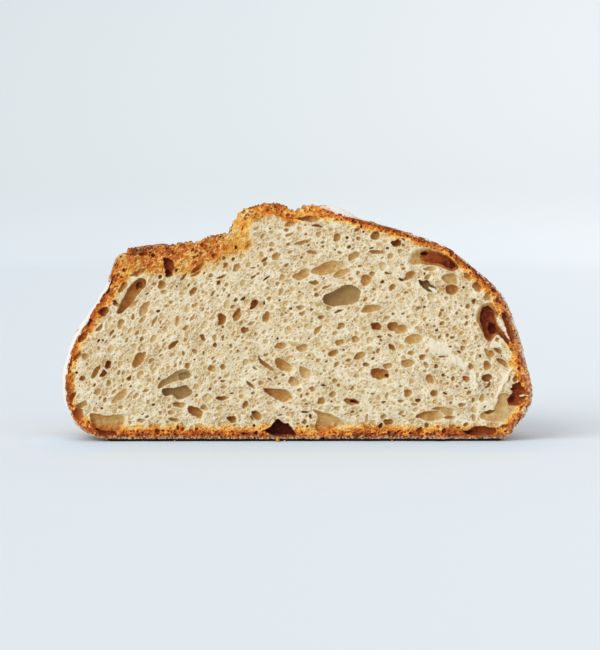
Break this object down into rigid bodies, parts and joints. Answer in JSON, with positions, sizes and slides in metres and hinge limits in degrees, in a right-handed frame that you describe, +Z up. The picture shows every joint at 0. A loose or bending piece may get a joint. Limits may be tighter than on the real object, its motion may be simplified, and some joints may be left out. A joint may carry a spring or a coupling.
{
  "type": "sourdough loaf half",
  "caption": "Half of a round sourdough loaf that stands on its flat base, with an open crumb on the cut face and a rounded, scored crust behind.",
  "frame": {"origin": "on the flat base, under the middle of the loaf's outer box", "axes": "+X to the right along the cut face, +Y from the cut face to the rounded back, +Z up"},
  "size_m": [0.235, 0.116, 0.1184],
  "materials": {
    "crust": "matte",
    "crumb": "matte"
  },
  "bodies": {
    "root": {"sourdough_loaf": "crust"}
  },
  "joints": []
}
